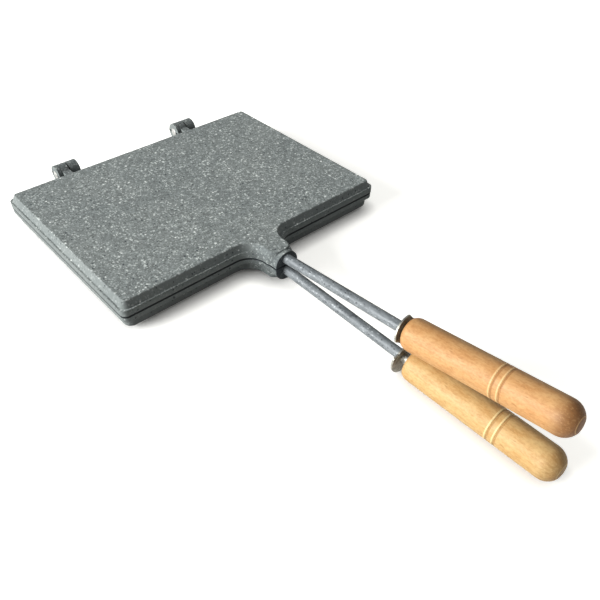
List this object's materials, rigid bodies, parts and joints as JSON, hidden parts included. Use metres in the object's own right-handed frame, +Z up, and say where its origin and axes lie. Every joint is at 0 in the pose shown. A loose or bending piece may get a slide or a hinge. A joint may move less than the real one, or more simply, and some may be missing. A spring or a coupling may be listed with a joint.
{
  "type": "pie iron",
  "caption": "Rectangular hinged cooking iron: a shallow tray and a domed-edge lid close on food, each on a straight rod with a turned wooden grip.",
  "frame": {"origin": "centre of the lower half's flat underside", "axes": "+X from the hinges towards the grips, +Y across the plates, +Z up through the upper half"},
  "size_m": [0.4794, 0.2476, 0.0621],
  "materials": {
    "coated_casting": "dull grey coating with pale and dark specks",
    "coated_rod": "satin grey coating with fine specks",
    "bare_steel": "plain satin steel",
    "collar_steel": "dull stamped steel",
    "grip_wood": "clear-coated pale wood",
    "plug_wood": "clear-coated pale wood, end grain"
  },
  "bodies": {
    "lower_half": {"lower_plate": "coated_casting", "lower_rod": "coated_rod", "lower_rod_pin": "bare_steel", "lower_collar": "collar_steel", "lower_grip": "grip_wood", "lower_tang_washer": "bare_steel", "lower_tang_nut": "bare_steel", "lower_end_plug": "plug_wood", "left_hinge_pin": "bare_steel", "right_hinge_pin": "bare_steel", "left_hinge_washer": "bare_steel", "right_hinge_washer": "bare_steel"},
    "upper_half": {"upper_plate": "coated_casting", "upper_rod": "coated_rod", "upper_rod_pin": "bare_steel", "upper_collar": "collar_steel", "upper_grip": "grip_wood", "upper_tang_washer": "bare_steel", "upper_tang_nut": "bare_steel", "upper_end_plug": "plug_wood"}
  },
  "joints": [
    {"name": "lid_hinge", "type": "hinge", "parent": "lower_half", "child": "upper_half", "pos_m": [-0.1146, 0, 0.01345], "axis": [0, -1, 0], "range_deg": [0, 180]}
  ]
}
